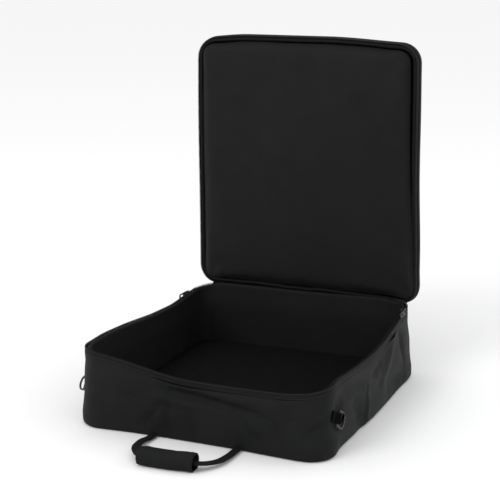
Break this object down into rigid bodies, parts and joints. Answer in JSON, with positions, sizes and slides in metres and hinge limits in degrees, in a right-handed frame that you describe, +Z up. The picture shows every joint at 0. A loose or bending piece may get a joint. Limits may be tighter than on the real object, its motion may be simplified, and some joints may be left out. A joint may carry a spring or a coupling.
{
  "type": "miniature carry case",
  "caption": "Soft zip-up carry case with a hinged padded lid standing open over a deep padded tub, a webbing handle with a wrapped grip, and side D-rings.",
  "frame": {"origin": "centre of the tub's footprint, on the underside that rests on the table", "axes": "+Z up; +X to the right across the width; the front wall with the carry handle faces -Y; the lid hinge runs along +X at the top of the back wall"},
  "size_m": [0.3506, 0.4671, 0.4505],
  "materials": {
    "case_fabric": "matte",
    "lining_fabric": "matte",
    "foam": "matte",
    "webbing": "matte",
    "binding": "matte",
    "zip_coil": "satin",
    "ring_plastic": "satin",
    "slider_metal": "satin"
  },
  "bodies": {
    "case": {"base_panel": "case_fabric", "gusset_wall": "case_fabric", "back_wall": "case_fabric", "foam_left": "foam", "foam_right": "foam", "foam_front": "foam", "foam_back": "foam", "wall_lining": "lining_fabric", "floor_lining": "lining_fabric", "floor_foam": "foam", "rim_tape": "binding", "zip_chain_lower": "zip_coil", "hinge_strip": "binding", "ring_tab_left": "webbing", "ring_tab_right": "webbing", "handle_anchor_left": "webbing", "handle_anchor_right": "webbing"},
    "lid": {"lid_cover": "case_fabric", "lid_gusset": "case_fabric", "lid_foam": "foam", "lid_lining": "lining_fabric", "lid_welt": "binding", "zip_tape_upper": "binding", "zip_chain_upper": "zip_coil"},
    "handle": {"handle_webbing": "webbing", "grip_wrap": "case_fabric", "grip_pad": "foam"},
    "ring_left": {"d_ring_left": "ring_plastic"},
    "ring_right": {"d_ring_right": "ring_plastic"},
    "zip_left": {"slider_left": "slider_metal"},
    "zip_right": {"slider_right": "slider_metal"},
    "pull_left": {"zip_pull_left": "slider_metal"},
    "pull_right": {"zip_pull_right": "slider_metal"}
  },
  "joints": [
    {"name": "lid_hinge", "type": "hinge", "parent": "case", "child": "lid", "pos_m": [0, 0.1766, 0.0975], "axis": [1, 0, 0], "range_deg": [-90, 90]},
    {"name": "handle_swing", "type": "hinge", "parent": "case", "child": "handle", "pos_m": [0, -0.189, 0.003], "axis": [-1, 0, 0], "range_deg": [0, 75]},
    {"name": "ring_swing_left", "type": "hinge", "parent": "case", "child": "ring_left", "pos_m": [-0.1648, -0.146, 0.0445], "axis": [0, 0.5, 0.866], "range_deg": [-70, 50]},
    {"name": "ring_swing_right", "type": "hinge", "parent": "case", "child": "ring_right", "pos_m": [0.1648, -0.146, 0.0445], "axis": [0, -0.5, -0.866], "range_deg": [-10, 110]},
    {"name": "zip_slide_left", "type": "slide", "parent": "case", "child": "zip_left", "axis": [0, -1, 0], "range_m": [0, 0.262]},
    {"name": "zip_slide_right", "type": "slide", "parent": "case", "child": "zip_right", "axis": [0, -1, 0], "range_m": [0, 0.262]},
    {"name": "pull_flip_left", "type": "hinge", "parent": "zip_left", "child": "pull_left", "pos_m": [-0.1625, 0.136, 0.0975], "axis": [0, 0, -1], "range_deg": [0, 170]},
    {"name": "pull_flip_right", "type": "hinge", "parent": "zip_right", "child": "pull_right", "pos_m": [0.1625, 0.136, 0.0975], "axis": [0, 0, 1], "range_deg": [0, 170]}
  ]
}
